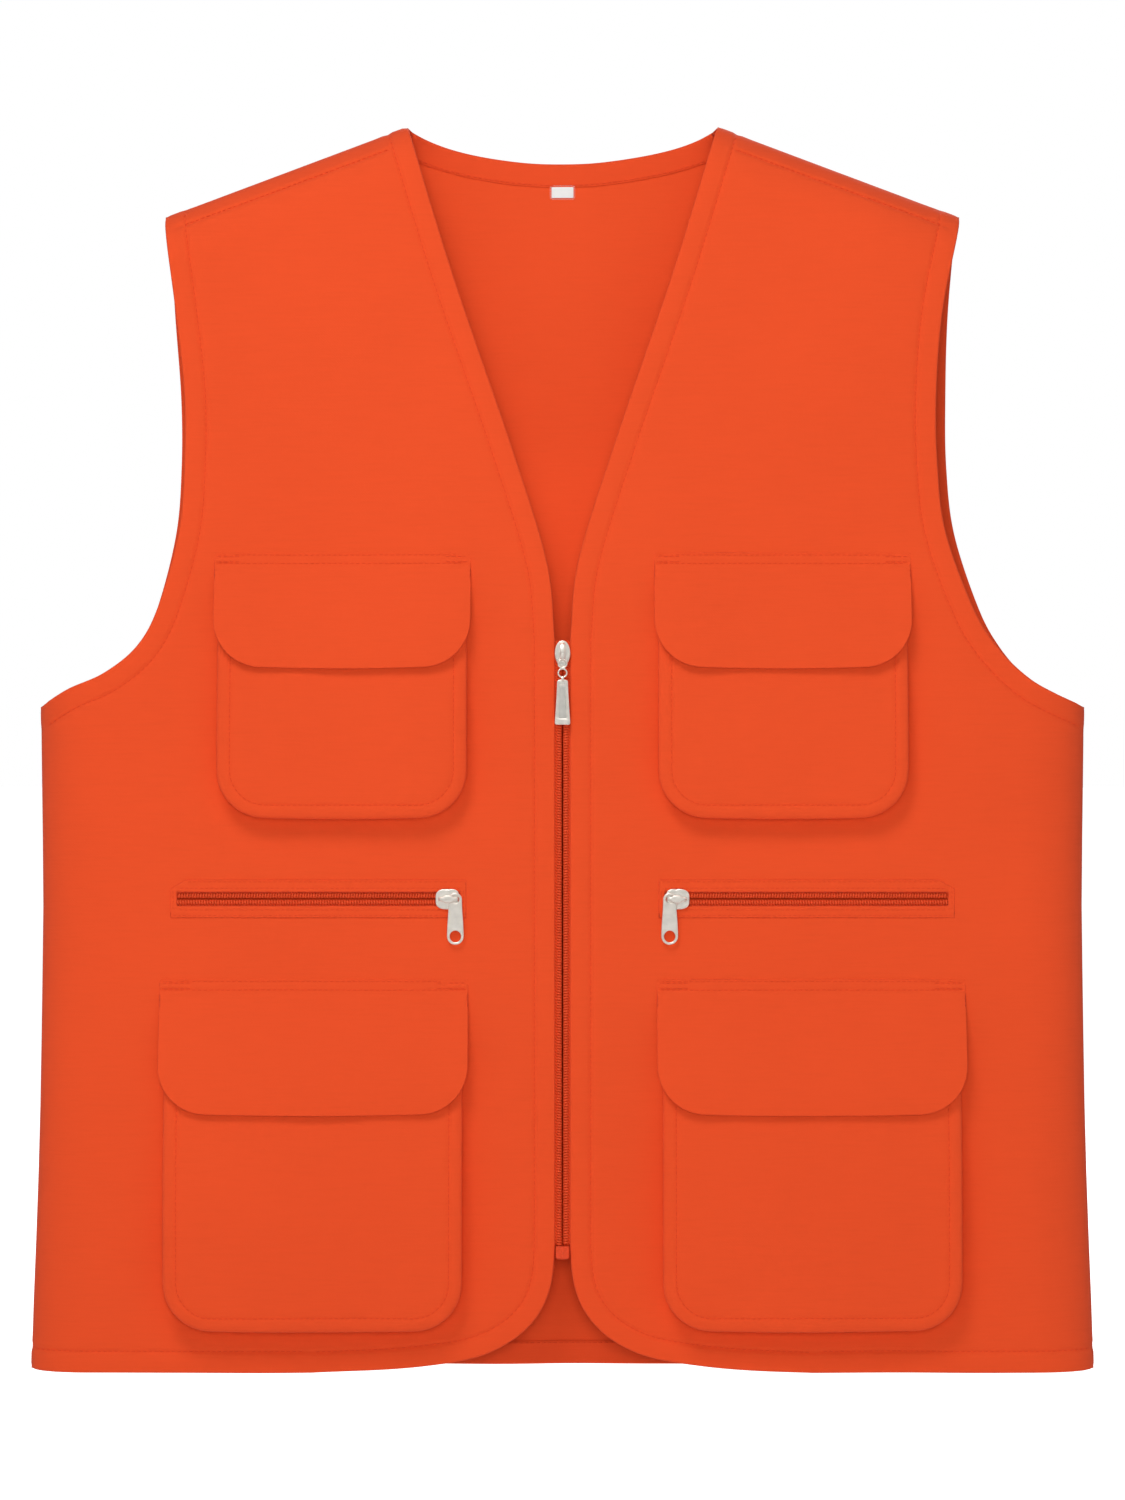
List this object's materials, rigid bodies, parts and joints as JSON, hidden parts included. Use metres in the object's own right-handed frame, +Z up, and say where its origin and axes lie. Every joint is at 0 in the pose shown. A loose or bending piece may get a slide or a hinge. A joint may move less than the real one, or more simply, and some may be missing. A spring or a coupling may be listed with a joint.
{
  "type": "zipped work vest",
  "caption": "Sleeveless V-neck work vest with a separating front zip, flapped bellows pockets on chest and hips, and zipped welt pockets between them.",
  "frame": {"origin": "on the centre line, level with the neck points of the shoulders, halfway between front and back", "axes": "+Z up along the front zip, +Y from front to back, +X towards the wearer's left"},
  "size_m": [0.5968, 0.0621, 0.7],
  "materials": {
    "shell_cloth": "smooth tight twill, dyed blaze orange, faint sheen",
    "lining": "thin plain-weave cloth of the same dye, matt",
    "zip_tape": "woven herringbone tape",
    "zip_nylon": "moulded and coiled nylon, half gloss",
    "nickel": "nickel plate over a die casting, softly polished",
    "hook_and_loop": "fuzzy woven fastening tape",
    "label": "white woven satin, blank"
  },
  "bodies": {
    "back": {"back_panel": "shell_cloth", "back_neck_facing": "lining", "back_hem_facing": "lining", "size_label": "label", "left_back_armhole_facing": "lining", "left_side_seam": "shell_cloth", "left_shoulder_seam": "shell_cloth", "right_back_armhole_facing": "lining", "right_side_seam": "shell_cloth", "right_shoulder_seam": "shell_cloth"},
    "left_front": {"left_front_panel": "shell_cloth", "left_front_facing": "lining", "left_front_armhole_facing": "lining", "left_front_hem_facing": "lining", "left_chest_pocket": "shell_cloth", "left_chest_flap_band": "shell_cloth", "left_chest_loop_tape": "hook_and_loop", "left_lower_pocket": "shell_cloth", "left_lower_flap_band": "shell_cloth", "left_lower_loop_tape": "hook_and_loop", "left_zip_pocket_welt": "shell_cloth", "left_pocket_zip_tape": "zip_tape", "left_pocket_zip_teeth": "zip_nylon", "left_zip_pocket_bag": "lining", "left_front_zip_tape": "zip_tape", "left_front_zip_teeth": "zip_nylon", "retaining_box": "zip_nylon"},
    "right_front": {"right_front_panel": "shell_cloth", "right_front_facing": "lining", "right_front_armhole_facing": "lining", "right_front_hem_facing": "lining", "right_chest_pocket": "shell_cloth", "right_chest_flap_band": "shell_cloth", "right_chest_loop_tape": "hook_and_loop", "right_lower_pocket": "shell_cloth", "right_lower_flap_band": "shell_cloth", "right_lower_loop_tape": "hook_and_loop", "right_zip_pocket_welt": "shell_cloth", "right_pocket_zip_tape": "zip_tape", "right_pocket_zip_teeth": "zip_nylon", "right_zip_pocket_bag": "lining", "right_front_zip_tape": "zip_tape", "right_front_zip_teeth": "zip_nylon", "insertion_pin": "zip_nylon"},
    "left_chest_flap": {"left_chest_flap": "shell_cloth", "left_chest_hook_tape": "hook_and_loop"},
    "left_lower_flap": {"left_lower_flap": "shell_cloth", "left_lower_hook_tape": "hook_and_loop"},
    "left_pocket_zip_slider": {"left_pocket_zip_slider": "nickel"},
    "left_pocket_zip_pull": {"left_pocket_zip_pull": "nickel"},
    "right_chest_flap": {"right_chest_flap": "shell_cloth", "right_chest_hook_tape": "hook_and_loop"},
    "right_lower_flap": {"right_lower_flap": "shell_cloth", "right_lower_hook_tape": "hook_and_loop"},
    "right_pocket_zip_slider": {"right_pocket_zip_slider": "nickel"},
    "right_pocket_zip_pull": {"right_pocket_zip_pull": "nickel"},
    "front_zip_slider": {"front_zip_slider": "nickel"},
    "front_zip_link": {"front_zip_link": "nickel"},
    "front_zip_tab": {"front_zip_tab": "nickel"}
  },
  "joints": [
    {"name": "left_front_swing", "type": "hinge", "parent": "back", "child": "left_front", "pos_m": [0.2988, 0, -0.7], "axis": [-0.0147, 0, 0.9999], "range_deg": [0, 35]},
    {"name": "left_chest_flap_lift", "type": "hinge", "parent": "left_front", "child": "left_chest_flap", "pos_m": [0.1225, -0.0235, -0.2475], "axis": [-1, 0, 0], "range_deg": [0, 150]},
    {"name": "left_lower_flap_lift", "type": "hinge", "parent": "left_front", "child": "left_lower_flap", "pos_m": [0.1385, -0.0235, -0.485], "axis": [-1, 0, 0], "range_deg": [0, 150]},
    {"name": "left_pocket_zip_slide", "type": "slide", "parent": "left_front", "child": "left_pocket_zip_slider", "axis": [1, 0, 0], "range_m": [0, 0.143]},
    {"name": "left_pocket_pull_swing", "type": "hinge", "parent": "left_pocket_zip_slider", "child": "left_pocket_zip_pull", "pos_m": [0.0596, -0.0253, -0.433], "axis": [0, 1, 0], "range_deg": [-50, 90]},
    {"name": "right_front_swing", "type": "hinge", "parent": "back", "child": "right_front", "pos_m": [-0.2988, 0, -0.7], "axis": [-0.0147, 0, -0.9999], "range_deg": [0, 35]},
    {"name": "right_chest_flap_lift", "type": "hinge", "parent": "right_front", "child": "right_chest_flap", "pos_m": [-0.1225, -0.0235, -0.2475], "axis": [-1, 0, 0], "range_deg": [0, 150]},
    {"name": "right_lower_flap_lift", "type": "hinge", "parent": "right_front", "child": "right_lower_flap", "pos_m": [-0.1385, -0.0235, -0.485], "axis": [-1, 0, 0], "range_deg": [0, 150]},
    {"name": "right_pocket_zip_slide", "type": "slide", "parent": "right_front", "child": "right_pocket_zip_slider", "axis": [-1, 0, 0], "range_m": [0, 0.143]},
    {"name": "right_pocket_pull_swing", "type": "hinge", "parent": "right_pocket_zip_slider", "child": "right_pocket_zip_pull", "pos_m": [-0.0596, -0.0253, -0.433], "axis": [0, -1, 0], "range_deg": [-50, 90]},
    {"name": "front_zip_slide", "type": "slide", "parent": "left_front", "child": "front_zip_slider", "axis": [0, 0, -1], "range_m": [0, 0.321]},
    {"name": "front_zip_link_swing", "type": "hinge", "parent": "front_zip_slider", "child": "front_zip_link", "pos_m": [0, -0.0253, -0.29955], "axis": [-1, 0, 0], "range_deg": [0, 110]},
    {"name": "front_zip_tab_swing", "type": "hinge", "parent": "front_zip_link", "child": "front_zip_tab", "pos_m": [0, -0.0253, -0.3095], "axis": [-1, 0, 0], "range_deg": [0, 70]}
  ]
}
